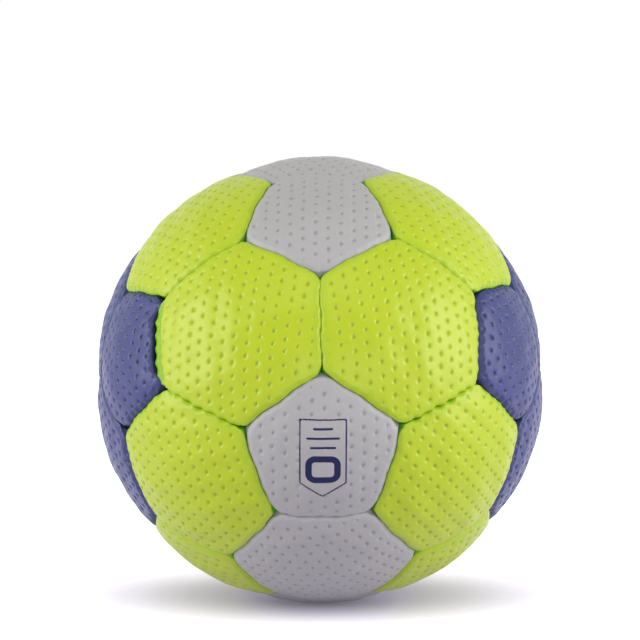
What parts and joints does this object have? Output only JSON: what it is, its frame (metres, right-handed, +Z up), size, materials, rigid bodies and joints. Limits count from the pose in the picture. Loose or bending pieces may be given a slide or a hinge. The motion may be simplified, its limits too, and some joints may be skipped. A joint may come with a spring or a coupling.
{
  "type": "handball",
  "caption": "Small stitched handball with dimpled hexagon and pentagon covers in lime, grey and blue over foam, lining and an air bladder with a removable valve core.",
  "frame": {"origin": "centre of the ball", "axes": "+Z up as the ball stands in the picture, -Y towards the front pair of hexagons, +X to their right"},
  "size_m": [0.1486, 0.1492, 0.15],
  "materials": {
    "lime_cover": "dimpled polyurethane synthetic leather, semi-gloss",
    "grey_cover": "dimpled polyurethane synthetic leather, semi-gloss",
    "blue_cover": "dimpled polyurethane synthetic leather, semi-gloss",
    "foam": "soft foam, matt",
    "lining_cloth": "woven cotton and polyester lining",
    "seam_thread": "waxed polyester thread",
    "bladder_rubber": "smooth butyl rubber",
    "valve_rubber": "moulded rubber, matt",
    "core_rubber": "moulded rubber, satin"
  },
  "bodies": {
    "ball": {"back_left_hexagon": "lime_cover", "back_lower_pentagon": "grey_cover", "back_right_hexagon": "lime_cover", "back_upper_pentagon": "grey_cover", "bladder": "bladder_rubber", "bottom_back_hexagon": "grey_cover", "bottom_front_hexagon": "grey_cover", "bottom_left_pentagon": "lime_cover", "bottom_right_pentagon": "lime_cover", "front_left_hexagon": "lime_cover", "front_lower_pentagon": "grey_cover", "front_right_hexagon": "lime_cover", "front_upper_pentagon": "grey_cover", "hexagon_foams": "foam", "hexagon_linings": "lining_cloth", "hexagon_seam_threads": "seam_thread", "left_back_pentagon": "blue_cover", "left_front_pentagon": "blue_cover", "left_lower_hexagon": "blue_cover", "left_upper_hexagon": "blue_cover", "lower_left_back_hexagon": "lime_cover", "lower_left_front_hexagon": "lime_cover", "lower_right_back_hexagon": "lime_cover", "lower_right_front_hexagon": "lime_cover", "pentagon_foams": "foam", "pentagon_linings": "lining_cloth", "pentagon_seam_threads": "seam_thread", "right_back_pentagon": "blue_cover", "right_front_pentagon": "blue_cover", "right_lower_hexagon": "blue_cover", "right_upper_hexagon": "blue_cover", "top_back_hexagon": "grey_cover", "top_front_hexagon": "grey_cover", "top_left_pentagon": "lime_cover", "top_right_pentagon": "lime_cover", "upper_left_back_hexagon": "lime_cover", "upper_left_front_hexagon": "lime_cover", "upper_right_back_hexagon": "lime_cover", "upper_right_front_hexagon": "lime_cover", "valve_housing": "valve_rubber"},
    "valve_core": {"valve_core": "core_rubber"}
  },
  "joints": [
    {"name": "valve_core_slide", "type": "slide", "parent": "ball", "child": "valve_core", "axis": [0.3541, 0.8859, -0.2997], "range_m": [0, 0.022]}
  ]
}
